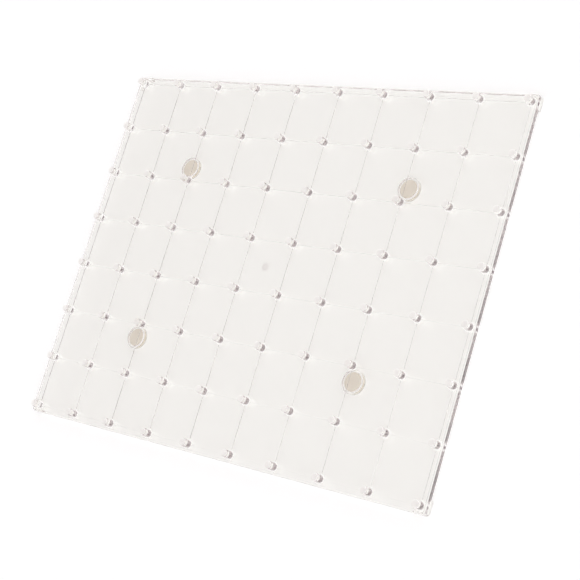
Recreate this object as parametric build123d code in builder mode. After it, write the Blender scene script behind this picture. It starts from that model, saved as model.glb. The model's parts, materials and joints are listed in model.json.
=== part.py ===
from build123d import *
from math import atan2, degrees
import os

# Clear peg-grid base board for solderless circuit blocks that press onto its pegs, with four disc
# magnets under it. Millimetres, +Z up, with the origin under the middle of the board, on the
# surface that its feet stand on.

os.makedirs("parts", exist_ok=True)

# Pegs, which the circuit blocks press onto
peg_spacing = 28.0  # between neighbours, along the board and across it
peg_columns = 10
peg_rows = 8
peg_diameter = 3.8
peg_height = 5.3  # above the web
peg_tip_round = 0.5
root_cone_height = 1.1  # steep cone round a peg's root, level with the rim
root_cone_width = 0.6  # all round, at its foot

# Plate: a flat web inside a raised rim
web_thickness = 1.4
rim_width = 1.2
rim_height = 1.1  # above the web
edge_margin = 4.0  # from the outermost peg axes to the plate's edge
corner_radius = 2.0
edge_chamfer = 0.25

# Low ribs that join the pegs into a grid
rib_width = 0.6
rib_height = 0.3

# Disc magnets, each glued into an open cup under the plate
magnet_diameter = 9.5
magnet_thickness = 2.0
magnet_chamfer = 0.25
magnet_spacing_x = 144.0
magnet_spacing_y = 99.0
cup_clearance = 0.1  # between the magnet and its cup, all round, filled by the glue
cup_wall = 1.2

# Corner feet: under each corner the rim runs on down as a short wall, bent round the corner
foot_reach = 7.2  # along each of the two edges
face_gap = 0.4  # from the magnets' faces to the surface that the feet stand on

# Mark of the moulding gate, under the middle of the plate
gate_diameter = 5.0
gate_depth = 0.5
gate_nub_diameter = 1.8
gate_nub_height = 0.4

# Sizes and heights that follow from those above
grid_length = (peg_columns - 1) * peg_spacing
grid_width = (peg_rows - 1) * peg_spacing
board_length = grid_length + 2 * edge_margin
board_width = grid_width + 2 * edge_margin
cup_bore = magnet_diameter + 2 * cup_clearance
cup_diameter = cup_bore + 2 * cup_wall
plate_bottom = magnet_thickness + face_gap
web_top = plate_bottom + web_thickness
inner_length = board_length - 2 * rim_width
inner_width = board_width - 2 * rim_width
inner_radius = corner_radius - rim_width

# The whole board is one clear moulding: web, rim, pegs, ribs, cups, feet and gate mark
with BuildPart() as base_board:
    with BuildSketch(Plane.XY.offset(plate_bottom)):
        RectangleRounded(board_length, board_width, corner_radius)
    extrude(amount=web_thickness + rim_height)
    chamfer(base_board.edges().group_by(Axis.Z)[0], edge_chamfer)
    with BuildSketch(Plane.XY.offset(web_top)):
        RectangleRounded(inner_length, inner_width, inner_radius)
    extrude(amount=rim_height, mode=Mode.SUBTRACT)
    chamfer(base_board.edges().group_by(Axis.Z)[-1], edge_chamfer)

    with BuildSketch(Plane.XY.offset(plate_bottom)):
        with GridLocations(magnet_spacing_x, magnet_spacing_y, 2, 2):
            Circle(cup_diameter / 2)
            Circle(cup_bore / 2, mode=Mode.SUBTRACT)
    extrude(amount=-magnet_thickness)

    with BuildSketch():
        RectangleRounded(board_length, board_width, corner_radius)
        RectangleRounded(inner_length, inner_width, inner_radius, mode=Mode.SUBTRACT)
        Rectangle(board_length - 2 * foot_reach, board_width, mode=Mode.SUBTRACT)
        Rectangle(board_length, board_width - 2 * foot_reach, mode=Mode.SUBTRACT)
    extrude(amount=web_top)

    with BuildSketch(Plane.XY.offset(plate_bottom)):
        Circle(gate_diameter / 2)
    extrude(amount=gate_depth, mode=Mode.SUBTRACT)
    with BuildSketch(Plane.XY.offset(plate_bottom + gate_depth)):
        Circle(gate_nub_diameter / 2)
    extrude(amount=-gate_nub_height)

    with BuildSketch(Plane.XY.offset(web_top)):
        with GridLocations(peg_spacing, peg_spacing, peg_columns, 1):
            Rectangle(rib_width, grid_width)
        with GridLocations(peg_spacing, peg_spacing, 1, peg_rows):
            Rectangle(grid_length, rib_width)
    extrude(amount=rib_height)

    with BuildSketch(Plane.XY.offset(web_top)):
        with GridLocations(peg_spacing, peg_spacing, peg_columns, peg_rows):
            Circle(peg_diameter / 2 + root_cone_width)
    extrude(amount=root_cone_height, taper=degrees(atan2(root_cone_width, root_cone_height)))
    with BuildSketch(Plane.XY.offset(web_top)):
        with GridLocations(peg_spacing, peg_spacing, peg_columns, peg_rows):
            Circle(peg_diameter / 2)
    extrude(amount=peg_height)
    fillet(base_board.edges().group_by(Axis.Z)[-1], peg_tip_round)

base_board.part.label = "base_board"
export_step(base_board.part, "parts/base_board.step")

# One magnet in each cup, its upper face against the plate and its lower face level with the cup's rim
for end, x_side in (("left", -1), ("right", 1)):
    for edge, y_side in (("front", -1), ("rear", 1)):
        magnet_x = x_side * magnet_spacing_x / 2
        magnet_y = y_side * magnet_spacing_y / 2
        with BuildPart() as magnet:
            with BuildSketch(Plane((magnet_x, magnet_y, face_gap))):
                Circle(magnet_diameter / 2)
            extrude(amount=magnet_thickness)
            chamfer(magnet.edges().filter_by(GeomType.CIRCLE), magnet_chamfer)
        magnet.part.label = f"magnet_{edge}_{end}"
        export_step(magnet.part, f"parts/{magnet.part.label}.step")
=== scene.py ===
import bmesh
import bpy
import json
import math
from mathutils import Matrix, Vector


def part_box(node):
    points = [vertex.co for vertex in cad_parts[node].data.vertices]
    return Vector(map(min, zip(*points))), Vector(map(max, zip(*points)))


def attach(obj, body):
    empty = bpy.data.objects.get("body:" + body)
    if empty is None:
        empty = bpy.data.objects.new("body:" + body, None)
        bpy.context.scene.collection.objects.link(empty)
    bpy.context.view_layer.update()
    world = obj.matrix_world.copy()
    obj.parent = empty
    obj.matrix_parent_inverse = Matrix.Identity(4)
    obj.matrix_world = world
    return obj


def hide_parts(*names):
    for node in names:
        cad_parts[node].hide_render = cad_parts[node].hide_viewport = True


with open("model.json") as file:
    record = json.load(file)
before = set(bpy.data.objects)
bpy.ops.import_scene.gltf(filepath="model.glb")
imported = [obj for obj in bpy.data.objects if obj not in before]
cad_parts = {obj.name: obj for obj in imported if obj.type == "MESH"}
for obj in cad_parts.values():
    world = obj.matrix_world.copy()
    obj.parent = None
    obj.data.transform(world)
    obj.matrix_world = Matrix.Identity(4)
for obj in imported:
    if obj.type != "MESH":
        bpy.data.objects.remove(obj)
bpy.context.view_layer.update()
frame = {"nodes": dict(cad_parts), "record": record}
print("frame loaded:", len(frame["nodes"]), "nodes")

# Places that the frame gives, in metres
mounts = {mount["name"]: mount for mount in frame["record"]["mounts"]}
cornerPegs = mounts["corner_pegs"]["dims"]
pegSpacing = mounts["middle_cell_pegs"]["dims"]["spacing_x_mm"] / 1000
pegRadius = cornerPegs["stud_r_mm"] / 1000
gridLength = cornerPegs["spacing_x_mm"] / 1000
gridWidth = cornerPegs["spacing_y_mm"] / 1000
boardHigh = Vector(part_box("base_board")[1])
magnetNodes = sorted(name for name in frame["nodes"] if name.startswith("magnet"))
magnetLow, magnetHigh = (Vector(corner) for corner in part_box("magnet_rear_right"))
magnetPlace = (magnetLow + magnetHigh) / 2
magnetRadius = (magnetHigh.x - magnetLow.x) / 2
plateBottom = magnetHigh.z  # the magnets lie against the plate's underside


# Node helpers
def setInputs(node, inputs):  # each input is given a socket to link, or its value
    for place, value in inputs.items():
        if isinstance(value, bpy.types.NodeSocket):
            node.id_data.links.new(value, node.inputs[place])
        else:
            node.inputs[place].default_value = value


def addNode(tree, kind, inputs=None, **settings):
    node = tree.nodes.new(kind)
    for name, value in settings.items():
        setattr(node, name, value)
    setInputs(node, inputs or {})
    return node


def addSockets(tree, way, sockets):
    return {name: tree.interface.new_socket(name, in_out=way, socket_type="NodeSocket" + kind)
            for name, kind in sockets}


def calc(tree, operation, *values):
    return addNode(tree, "ShaderNodeMath", dict(enumerate(values)), operation=operation).outputs[0]


# Mesh helpers
def arc(centreRadius, centreHeight, radius, startAngle, endAngle, steps):
    angles = [math.radians(startAngle + (endAngle - startAngle) * i / steps) for i in range(steps + 1)]
    return [(centreRadius + radius * math.cos(a), centreHeight + radius * math.sin(a)) for a in angles]


def bridge(bm, rings):  # walls from ring to ring, and a face on each end
    for lower, upper in zip(rings, rings[1:]):
        for i in range(len(lower)):
            j = (i + 1) % len(lower)
            bm.faces.new((lower[i], lower[j], upper[j], upper[i]))
    bm.faces.new(rings[0])
    bm.faces.new(rings[-1])


def finishMesh(name, bm):
    bmesh.ops.recalc_face_normals(bm, faces=bm.faces)
    mesh = bpy.data.meshes.new(name)
    bm.to_mesh(mesh)
    bm.free()
    return mesh


def finishForm(name, bm):  # a form is only read by node trees, so it stays out of the scene
    return bpy.data.objects.new(name, finishMesh(name, bm))


def latheForm(name, profile, segments, closed=False):
    bm = bmesh.new()
    turns = [2 * math.pi * i / segments for i in range(segments)]
    rings = []
    for radius, height in profile:
        if radius == 0:
            rings.append([bm.verts.new((0, 0, height))])
        else:
            rings.append([bm.verts.new((radius * math.cos(t), radius * math.sin(t), height)) for t in turns])
    if closed:
        rings.append(rings[0])
    for lower, upper in zip(rings, rings[1:]):
        for i in range(segments):
            j = (i + 1) % segments
            corners = [lower[i % len(lower)], lower[j % len(lower)]]
            corners += [upper[j % len(upper)], upper[i % len(upper)]]
            unique = list(dict.fromkeys(corners))  # a pole's one corner comes twice
            if len(unique) > 2:
                bm.faces.new(unique)
    return finishForm(name, bm)


# Plate: a thin web inside a raised rim
plateSettings = {
    "webThickness": 0.0014,
    "rimHeight": 0.0011,
    "rimWidth": 0.0012,
    "draft": 2.0,  # degrees that the rim's walls lean back
    "edgeRound": 0.0003,
    "outerRound": 0.0006,
    "cornerRadius": 0.002,
    "innerCornerRadius": 0.0005,
    "stepRound": 0.00015,  # where the rim meets the web
    "edgeSteps": 4,
    "cornerSteps": 16,
}
webTop = plateBottom + plateSettings["webThickness"]
pegHeight = boardHigh.z - webTop
sunk = 0.0008  # how far a form reaches into the plate before they are joined


def plateBlank():
    size = plateSettings

    def outline(inset):
        points = []
        radius = max(size["cornerRadius"] - inset, size["innerCornerRadius"])
        for quarter, (sx, sy) in enumerate(((1, 1), (-1, 1), (-1, -1), (1, -1))):
            for i in range(size["cornerSteps"] + 1):
                turn = math.pi / 2 * (quarter + i / size["cornerSteps"])
                points.append((
                    sx * (boardHigh.x - inset - radius) + radius * math.cos(turn),
                    sy * (boardHigh.y - inset - radius) + radius * math.sin(turn),
                ))
        return points

    edge, outer, step, steps = size["edgeRound"], size["outerRound"], size["stepRound"], size["edgeSteps"]
    inner = size["rimWidth"]
    rimTop = webTop + size["rimHeight"]
    slope = math.tan(math.radians(size["draft"]))
    lean = slope * (rimTop - plateBottom)
    innerLean = slope * size["rimHeight"]
    section = [(edge - r, z) for r, z in arc(0, plateBottom + edge, edge, -90, 0, steps)]
    section += [(lean + outer - r, z) for r, z in arc(0, rimTop - outer, outer, 0, 90, 2 * steps)]
    section += [(inner - innerLean - step - r, z) for r, z in arc(0, rimTop - step, step, 90, 180, steps)]
    section += [(inner + step - r, z) for r, z in arc(0, webTop + step, step, 0, -90, steps)]
    bm = bmesh.new()
    bridge(bm, [[bm.verts.new((x, y, z)) for x, y in outline(inset)] for inset, z in section])
    board = bpy.data.objects.new("base_board_moulding", finishMesh("base_board_moulding", bm))
    bpy.context.scene.collection.objects.link(board)
    return board


# Pegs
pegSettings = {
    "tipRound": 0.0005,
    "rootRound": 0.0011,
    "roundSteps": 8,
    "segments": 48,
}


def pegForm():
    size = pegSettings
    root, tip, steps = size["rootRound"], size["tipRound"], size["roundSteps"]
    profile = [(0, -sunk), (pegRadius + root, -sunk)]
    profile += arc(pegRadius + root, root, root, 270, 180, steps)
    profile += arc(pegRadius - tip, pegHeight - tip, tip, 0, 90, steps)
    profile += [(0, pegHeight)]
    return latheForm("pegForm", profile, size["segments"])


# Low ribs that join the pegs into a grid
ribSettings = {
    "width": 0.0006,
    "rowHeight": 0.00038,
    "columnHeight": 0.00026,
    "fullness": 0.35,  # 1 is half an ellipse, 0 a square bar
    "roundSteps": 10,
}


def ribForm(name, length, height):
    size = ribSettings
    half = size["width"] / 2
    section = [(-half, -sunk), (half, -sunk), (half, 0)]
    for i in range(1, size["roundSteps"]):
        turn = math.pi * i / size["roundSteps"]
        section.append((half * math.cos(turn), height * math.sin(turn) ** size["fullness"]))
    section.append((-half, 0))
    bm = bmesh.new()
    bridge(bm, [[bm.verts.new((x, y, z)) for y, z in section] for x in (-length / 2, length / 2)])
    return finishForm(name, bm)


# Cups that hold the magnets, and the seat over each magnet
cupSettings = {
    "clearance": 0.0001,
    "wall": 0.0012,
    "rimRound": 0.0002,
    "roundSteps": 4,
    "seatDepth": 0.00005,  # the glue line's thickness
    "segments": 64,
}
cupRadius = magnetRadius + cupSettings["clearance"]


def cupForm():
    size = cupSettings
    outer = cupRadius + size["wall"]
    rim, steps = size["rimRound"], size["roundSteps"]
    low = magnetLow.z - magnetHigh.z + rim
    profile = arc(cupRadius + rim, low, rim, 180, 270, steps)
    profile += arc(outer - rim, low, rim, 270, 360, steps)
    profile += [(outer, sunk), (cupRadius, sunk)]
    return latheForm("cupForm", profile, size["segments"], closed=True)


def seatForm():
    depth = cupSettings["seatDepth"]
    profile = [(0, -sunk), (cupRadius, -sunk), (cupRadius, depth), (0, depth)]
    return latheForm("seatForm", profile, cupSettings["segments"])


# Feet: short walls that follow the rim round each corner
footSettings = {
    "reach": 0.0072,  # length of each leg along the board's edge
    "thickness": 0.0012,
    "inset": 0.00005,
    "leastRadius": 0.0003,
    "edgeRound": 0.0002,
    "cornerSteps": 8,
    "overlap": 0.0006,  # how far the walls run up into the rim
}


def footForm():  # all four in one form
    size = footSettings
    outer, thick, reach, edge = size["inset"], size["thickness"], size["reach"], size["edgeRound"]
    radius = max(plateSettings["cornerRadius"] - outer, size["leastRadius"])
    x, y = boardHigh.x - outer, boardHigh.y - outer
    points = [(x, y - reach)]
    points += [(x - radius + px, y - radius + py) for px, py in arc(0, 0, radius, 0, 90, size["cornerSteps"])]
    points += [(x - reach, y), (x - reach, y - thick), (x - thick, y - thick), (x - thick, y - reach)]
    bm = bmesh.new()
    for sx, sy in ((-1, -1), (-1, 1), (1, -1), (1, 1)):
        rings = []
        for height, narrow in ((-plateBottom, edge), (-plateBottom + edge, 0.0), (size["overlap"], 0.0)):
            ring = []
            for px, py in points:
                shiftX = narrow if px > x - thick / 2 else -narrow
                shiftY = narrow if py > y - thick / 2 else -narrow
                ring.append(bm.verts.new((sx * (px - shiftX), sy * (py - shiftY), height)))
            rings.append(ring)
        bridge(bm, rings)
    return finishForm("footForm", bm)


# Mark of the moulding gate
gateSettings = {
    "radius": 0.0025,
    "depth": 0.0003,
    "nubRadius": 0.0009,
    "nubHeight": 0.0001,
    "steps": 14,
    "segments": 40,
}


def gateForm():  # shallow dish with the gate's low stump in its middle
    size = gateSettings
    profile = []
    for i in range(size["steps"] + 1):
        radius = size["radius"] * i / size["steps"]
        dish = size["depth"] * (0.5 + 0.5 * math.cos(math.pi * radius / size["radius"]))
        stump = size["nubHeight"] * math.exp(-(radius / size["nubRadius"]) ** 2)
        profile.append((radius, dish - stump))
    profile += [(size["radius"], -sunk), (0, -sunk)]
    return latheForm("gateForm", profile, size["segments"])


# The moulding: forms set out on the peg grid and joined to the plate
def mouldingTree(forms):
    tree = bpy.data.node_groups.new("joinMoulding", "GeometryNodeTree")
    sizes = addSockets(tree, "INPUT", (
        ("Geometry", "Geometry"),
        ("Peg Spacing", "Float"),
        ("Columns", "Int"),
        ("Rows", "Int"),
        ("Cup Spacing X", "Float"),
        ("Cup Spacing Y", "Float"),
        ("Plate Bottom", "Float"),
        ("Web Top", "Float"),
        ("Material", "Material"),
    ))
    addSockets(tree, "OUTPUT", [("Geometry", "Geometry")])
    given = addNode(tree, "NodeGroupInput").outputs

    def realized(geometry):
        return addNode(tree, "GeometryNodeRealizeInstances", {0: geometry}).outputs[0]

    def raised(geometry, height):
        level = addNode(tree, "ShaderNodeCombineXYZ", {"Z": height}).outputs[0]
        return addNode(tree, "GeometryNodeTransform", {"Geometry": geometry, "Translation": level}).outputs[0]

    def shapeOf(form):
        return addNode(tree, "GeometryNodeObjectInfo", {"Object": form}).outputs["Geometry"]

    def setOut(form, sizeX, sizeY, countX, countY, height, turn=0.0):
        places = addNode(tree, "GeometryNodeMeshGrid", {
            "Size X": sizeX,
            "Size Y": sizeY,
            "Vertices X": countX,
            "Vertices Y": countY,
        })
        copies = addNode(tree, "GeometryNodeInstanceOnPoints", {
            "Points": raised(places.outputs["Mesh"], height),
            "Instance": shapeOf(form),
            "Rotation": (0, 0, turn),
        })
        return realized(copies.outputs["Instances"])

    columns, rows, spacing = given["Columns"], given["Rows"], given["Peg Spacing"]
    cupX, cupY = given["Cup Spacing X"], given["Cup Spacing Y"]
    low, high = given["Plate Bottom"], given["Web Top"]
    length = calc(tree, "MULTIPLY", calc(tree, "SUBTRACT", columns, 1), spacing)
    width = calc(tree, "MULTIPLY", calc(tree, "SUBTRACT", rows, 1), spacing)
    joined = addNode(tree, "GeometryNodeMeshBoolean", operation="UNION", solver="MANIFOLD")
    for solid in (
        given["Geometry"],
        setOut(forms["peg"], length, width, columns, rows, high),
        setOut(forms["cup"], cupX, cupY, 2, 2, low),
        setOut(forms["rowRib"], 0.0, width, 1, rows, high),
        setOut(forms["columnRib"], length, 0.0, columns, 1, high, math.pi / 2),
        setOut(forms["foot"], 0.0, 0.0, 1, 1, low),
    ):
        setInputs(joined, {"Mesh 2": solid})
    cut = addNode(tree, "GeometryNodeMeshBoolean", operation="DIFFERENCE", solver="MANIFOLD")
    setInputs(cut, {"Mesh 1": joined.outputs["Mesh"]})
    for hollow in (raised(shapeOf(forms["gate"]), low), setOut(forms["seat"], cupX, cupY, 2, 2, low)):
        setInputs(cut, {"Mesh 2": hollow})
    painted = addNode(tree, "GeometryNodeSetMaterial", {
        "Geometry": realized(cut.outputs["Mesh"]),
        "Material": given["Material"],
    })
    addNode(tree, "NodeGroupOutput", {"Geometry": painted.outputs["Geometry"]})
    return tree, sizes


mouldingSettings = {
    "mergeDistance": 2e-7,
    "creaseAngle": 32.0,  # a sharper edge stays sharp
    "flatShare": 1 / 8,  # a face larger than this share of a grid cell is shaded flat
}


def makeMoulding(material):
    forms = {
        "peg": pegForm(),
        "rowRib": ribForm("rowRibForm", gridLength, ribSettings["rowHeight"]),
        "columnRib": ribForm("columnRibForm", gridWidth, ribSettings["columnHeight"]),
        "foot": footForm(),
        "cup": cupForm(),
        "gate": gateForm(),
        "seat": seatForm(),
    }
    board = plateBlank()
    joining = board.modifiers.new("joinMoulding", "NODES")
    joining.node_group, sizes = mouldingTree(forms)
    values = {
        "Peg Spacing": pegSpacing,
        "Columns": round(gridLength / pegSpacing) + 1,
        "Rows": round(gridWidth / pegSpacing) + 1,
        "Cup Spacing X": 2 * magnetPlace.x,
        "Cup Spacing Y": 2 * magnetPlace.y,
        "Plate Bottom": plateBottom,
        "Web Top": webTop,
        "Material": material,
    }
    for name, value in values.items():
        joining[sizes[name].identifier] = value
    board.update_tag()
    bpy.context.view_layer.update()
    finished = bpy.data.meshes.new_from_object(board.evaluated_get(bpy.context.evaluated_depsgraph_get()))
    board.modifiers.clear()
    board.data = finished
    finished.name = "base_board_moulding"
    for form in forms.values():
        bpy.data.objects.remove(form)

    largeFace = pegSpacing * pegSpacing * mouldingSettings["flatShare"]
    bm = bmesh.new()
    bm.from_mesh(finished)
    bmesh.ops.remove_doubles(bm, verts=bm.verts, dist=mouldingSettings["mergeDistance"])
    for edge in bm.edges:
        edge.smooth = edge.calc_face_angle(0) < math.radians(mouldingSettings["creaseAngle"])
    for face in bm.faces:
        face.smooth = face.calc_area() < largeFace
    openEdges = sum(len(edge.link_faces) != 2 for edge in bm.edges)
    bm.to_mesh(finished)
    bm.free()
    finished.update()
    print("moulding joined:", len(finished.polygons), "faces,", openEdges, "open edges")
    return board


# Helpers for the materials
def newMaterial(name):
    material = bpy.data.materials.new(name)
    material.use_nodes = True
    return material, material.node_tree.nodes["Principled BSDF"]


def ramp(tree, value, start, end):  # 0 at start, 1 at end, smooth between
    limits = {"Value": value, "From Min": start, "From Max": end}
    return addNode(tree, "ShaderNodeMapRange", limits, interpolation_type="SMOOTHSTEP").outputs["Result"]


def noise(tree, vector, scale, detail):
    grain = {"Vector": vector, "Scale": scale, "Detail": detail}
    return addNode(tree, "ShaderNodeTexNoise", grain).outputs["Fac"]


def mixColors(tree, share, first, second):  # the node's color inputs are 6 and 7, its color output 2
    return addNode(tree, "ShaderNodeMix", {0: share, 6: first, 7: second}, data_type="RGBA").outputs[2]


def fromAxis(tree, place):  # distance from the Z axis
    flat = addNode(tree, "ShaderNodeVectorMath", {0: place, 1: (1, 1, 0)}, operation="MULTIPLY")
    return addNode(tree, "ShaderNodeVectorMath", {0: flat.outputs[0]}, operation="LENGTH").outputs["Value"]


def addBump(tree, height, depth):
    return addNode(tree, "ShaderNodeBump", {"Height": height, "Distance": depth}).outputs["Normal"]


# Soft film and fine scuffs that handling leaves, for both materials
wearSettings = {
    "filmDetail": 3.0,
    "scuffDetail": 2.0,
    "scuffAngle": 34.0,
    "scuffStretch": 16,  # scuffs run long one way
    "scuffStart": 0.62,
    "scuffFull": 0.72,
}


def makeHandlingWear():
    size = wearSettings
    group = bpy.data.node_groups.new("handlingWear", "ShaderNodeTree")
    addSockets(group, "INPUT", (
        ("Place", "Vector"),
        ("Film Scale", "Float"),
        ("Scuff Scale", "Float"),
        ("Film", "Float"),
        ("Scuffs", "Float"),
    ))
    addSockets(group, "OUTPUT", (("Roughness", "Float"), ("Height", "Float")))
    given = addNode(group, "NodeGroupInput").outputs
    film = noise(group, given["Place"], given["Film Scale"], size["filmDetail"])
    drawn = addNode(group, "ShaderNodeMapping", {
        "Vector": given["Place"],
        "Rotation": (0, 0, math.radians(size["scuffAngle"])),
        "Scale": (1, size["scuffStretch"], 1),
    })
    strokes = noise(group, drawn.outputs[0], given["Scuff Scale"], size["scuffDetail"])
    scuffs = ramp(group, strokes, size["scuffStart"], size["scuffFull"])
    soft = calc(group, "MULTIPLY", film, given["Film"])
    fine = calc(group, "MULTIPLY", scuffs, given["Scuffs"])
    addNode(group, "NodeGroupOutput", {"Roughness": calc(group, "ADD", soft, fine), "Height": film})
    return group


def addWear(tree, place, size):
    return addNode(tree, "ShaderNodeGroup", {
        "Place": place,
        "Film Scale": size["filmScale"],
        "Scuff Scale": size["scuffScale"],
        "Film": size["film"],
        "Scuffs": size["scuffs"],
    }, node_tree=handlingWear)


# Clear styrene of the board. Each fade gives where an effect starts and where it is full, in metres
plasticSettings = {
    "ior": 1.59,
    "tint": (0.984, 0.983, 0.962, 1),
    "absorbColor": (0.72, 0.64, 0.65, 1),
    "absorbDensity": 14.5,
    "wallFrost": 0.08,  # roughness of the outer wall, as the mould leaves it
    "tipFrost": 0.3,  # circuit blocks have dulled the tips
    "gateFrost": 0.4,
    "footFrost": 0.25,  # scuffed where the board is slid about
    # painted shade: a greyer colour on the peg tips
    "tipShadeTint": (0.925, 0.900, 0.892, 1),
    "gateTint": (0.82, 0.79, 0.775, 1),
    "wallFade": (-0.0006, -0.00035),  # from the board's edge
    "tipFade": (-0.0008, -0.0002),  # from the top of the pegs
    "gateFade": (0.0007, -0.0013),  # from the mark's edge
    "gateDepthFade": (-0.0001, -0.0004),  # from the top of the web
    "footFade": (-0.0018, -0.0014),  # from the board's edge
    "footDepthFade": (0.0001, -0.0002),  # from the plate's underside
    "filmScale": 55.0,
    "scuffScale": 160.0,
    "film": 0.01,
    "scuffs": 0.03,
    "waveDepth": 0.000004,  # shrinkage of the skin
}


def makeClearPlastic():
    size = plasticSettings
    material, surface = newMaterial("clearPlastic")
    tree = material.node_tree

    def fade(value, name, level=0.0):
        start, full = size[name]
        return ramp(tree, value, level + start, level + full)

    place = addNode(tree, "ShaderNodeTexCoord").outputs["Object"]
    parts = addNode(tree, "ShaderNodeSeparateXYZ", {0: place}).outputs
    along = calc(tree, "SUBTRACT", calc(tree, "ABSOLUTE", parts["X"]), boardHigh.x)
    across = calc(tree, "SUBTRACT", calc(tree, "ABSOLUTE", parts["Y"]), boardHigh.y)
    edge = calc(tree, "MAXIMUM", along, across)
    wall = fade(edge, "wallFade")
    tip = fade(parts["Z"], "tipFade", boardHigh.z)
    gate = fade(fromAxis(tree, place), "gateFade", gateSettings["radius"])
    gate = calc(tree, "MULTIPLY", gate, fade(parts["Z"], "gateDepthFade", webTop))
    foot = calc(tree, "MULTIPLY", fade(edge, "footFade"), fade(parts["Z"], "footDepthFade", plateBottom))
    # the peg tips get a darker colour, which is painted shade; their frost is wear
    tint = mixColors(tree, tip, size["tint"], size["tipShadeTint"])
    wear = addWear(tree, place, size).outputs
    rough = wear["Roughness"]
    for share, frost in ((wall, "wallFrost"), (tip, "tipFrost"), (gate, "gateFrost"), (foot, "footFrost")):
        rough = calc(tree, "MULTIPLY_ADD", share, size[frost], rough)
    setInputs(surface, {
        "Transmission Weight": 1.0,
        "IOR": size["ior"],
        "Base Color": mixColors(tree, gate, tint, size["gateTint"]),
        "Roughness": rough,
        "Normal": addBump(tree, wear["Height"], size["waveDepth"]),
    })
    absorb = addNode(tree, "ShaderNodeVolumeAbsorption", {
        "Color": size["absorbColor"],
        "Density": size["absorbDensity"],
    })
    setInputs(tree.nodes["Material Output"], {"Volume": absorb.outputs["Volume"]})
    return material


# Plating of the magnet discs
platingSettings = {
    "color": (0.97, 0.92, 0.85, 1),
    "dullColor": (0.92, 0.86, 0.78, 1),
    "edgeShadeColor": (0.70, 0.60, 0.50, 1),  # painted shade: a darker ring round each disc's edge, where the disc meets its cup
    "edgeWidth": 0.0007,
    "edgeShadeShare": 0.5,
    "roughness": 0.42,
    "metal": 0.12,
    "mottleScale": 420.0,
    "mottleDetail": 4.0,
    "filmScale": 260.0,
    "scuffScale": 700.0,
    "film": 0.16,
    "scuffs": 0.12,
    "pitDepth": 0.00001,
}


def makeMagnetPlating():
    size = platingSettings
    material, surface = newMaterial("magnetPlating")
    tree = material.node_tree
    place = addNode(tree, "ShaderNodeTexCoord").outputs["Object"]  # with one disc in each quarter
    quarter = addNode(tree, "ShaderNodeVectorMath", {0: place}, operation="ABSOLUTE").outputs[0]
    local = addNode(tree, "ShaderNodeVectorMath", {0: quarter, 1: magnetPlace}, operation="SUBTRACT")
    edge = ramp(tree, fromAxis(tree, local.outputs[0]), magnetRadius - size["edgeWidth"], magnetRadius)
    mottle = noise(tree, place, size["mottleScale"], size["mottleDetail"])
    plating = mixColors(tree, mottle, size["color"], size["dullColor"])
    # painted shade: the disc's colour darkens towards its edge, where it meets the cup
    edgeShade = calc(tree, "MULTIPLY", edge, size["edgeShadeShare"])
    wear = addWear(tree, place, size).outputs
    setInputs(surface, {
        "Metallic": size["metal"],
        "Base Color": mixColors(tree, edgeShade, plating, size["edgeShadeColor"]),
        "Roughness": calc(tree, "ADD", wear["Roughness"], size["roughness"]),
        "Normal": addBump(tree, wear["Height"], size["pitDepth"]),
    })
    return material


handlingWear = makeHandlingWear()
clearPlastic = makeClearPlastic()
magnetPlating = makeMagnetPlating()
print("materials ready")

board = makeMoulding(clearPlastic)
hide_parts("base_board")
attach(board, "root")

for name in magnetNodes:
    magnet = frame["nodes"][name]
    if len(magnet.data.materials) == 0:
        magnet.data.materials.append(magnetPlating)
    for slot in magnet.material_slots:
        slot.material = magnetPlating
print("pieces dressed")

# Floor
floorSettings = {
    "size": 20.0,
    "color": (0.85, 0.85, 0.85, 1),
    "glowColor": (1, 1, 1, 1),
    "glow": 0.22,
    "roughness": 0.7,
    "drop": 0.0002,  # hair's breadth under the feet
}


def makeFloor():
    size = floorSettings
    half, height = size["size"] / 2, -size["drop"]
    corners = [(-half, -half, height), (half, -half, height), (half, half, height), (-half, half, height)]
    mesh = bpy.data.meshes.new("floor")
    mesh.from_pydata(corners, [], [(0, 1, 2, 3)])
    floor = bpy.data.objects.new("floor", mesh)
    bpy.context.scene.collection.objects.link(floor)
    material, surface = newMaterial("paleFloor")
    setInputs(surface, {
        "Base Color": size["color"],
        "Roughness": size["roughness"],
        "Emission Color": size["glowColor"],
        "Emission Strength": size["glow"],
    })
    mesh.materials.append(material)


def direction(azimuth, elevation):  # out from the middle, both angles in degrees
    azimuth, elevation = math.radians(azimuth), math.radians(elevation)
    return Vector((math.cos(elevation) * math.cos(azimuth), math.cos(elevation) * math.sin(azimuth),
                   math.sin(elevation)))


# Lights: a bright tent all round, with one unlit gap
lightSettings = {
    "tentColor": (1.17, 1.17, 1.17, 1),
    "gapColor": (0.13, 0.07, 0.09, 1),  # what the top face mirrors to the camera
    "gapAzimuth": 164.0,
    "gapElevation": 51.0,
    "gapInner": 26.0,
    "gapOuter": 36.0,
    "backdropColor": (1, 1, 1, 1),
    "bounces": 96,  # light crosses many clear walls
}


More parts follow.
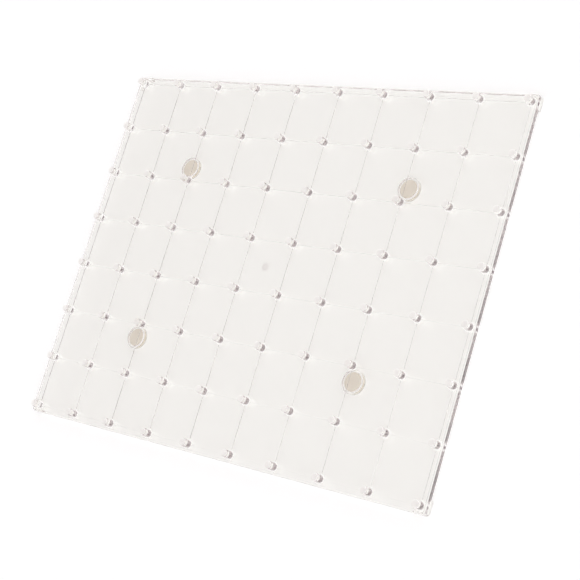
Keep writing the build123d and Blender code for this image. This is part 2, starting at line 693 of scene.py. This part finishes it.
def makeLights():
    size = lightSettings
    scene = bpy.context.scene
    scene.world = bpy.data.worlds.new("studio")
    scene.world.use_nodes = True
    tree = scene.world.node_tree
    facing = addNode(tree, "ShaderNodeVectorMath", {
        0: addNode(tree, "ShaderNodeTexCoord").outputs["Generated"],
        1: direction(size["gapAzimuth"], size["gapElevation"]),
    }, operation="DOT_PRODUCT")
    outer, inner = math.cos(math.radians(size["gapOuter"])), math.cos(math.radians(size["gapInner"]))
    gap = ramp(tree, facing.outputs["Value"], outer, inner)
    tent = tree.nodes["Background"]
    setInputs(tent, {"Color": mixColors(tree, gap, size["tentColor"], size["gapColor"])})
    backdrop = addNode(tree, "ShaderNodeBackground", {"Color": size["backdropColor"]})
    either = addNode(tree, "ShaderNodeMixShader", {
        0: addNode(tree, "ShaderNodeLightPath").outputs["Is Camera Ray"],
        1: tent.outputs[0],
        2: backdrop.outputs[0],
    })
    setInputs(tree.nodes["World Output"], {"Surface": either.outputs[0]})
    scene.view_settings.view_transform = "Standard"
    scene.cycles.max_bounces = size["bounces"]
    scene.cycles.glossy_bounces = size["bounces"]
    scene.cycles.transmission_bounces = size["bounces"]
    scene.cycles.blur_glossy = 0.0


# Camera
cameraSettings = {
    "target": (0.02119, -0.01047, 0.0049),
    "distance": 0.67062,
    "azimuth": -15.987,
    "elevation": 51.068,
    "roll": -60.634,
    "lens": 82.53,
    "sensor": 36.0,
    "clipStart": 0.01,
}


def makeCamera():
    size = cameraSettings
    back = direction(size["azimuth"], size["elevation"])
    right = Vector((0, 0, 1)).cross(back).normalized()
    level = Matrix((right, back.cross(right), back)).transposed().to_4x4()
    data = bpy.data.cameras.new("camera")
    data.lens = size["lens"]
    data.sensor_width = size["sensor"]
    data.clip_start = size["clipStart"]
    camera = bpy.data.objects.new("camera", data)
    bpy.context.scene.collection.objects.link(camera)
    place = Matrix.Translation(Vector(size["target"]) + back * size["distance"])
    camera.matrix_world = place @ level @ Matrix.Rotation(math.radians(size["roll"]), 4, "Z")
    bpy.context.scene.camera = camera


makeFloor()
makeLights()
makeCamera()
print("stage ready")
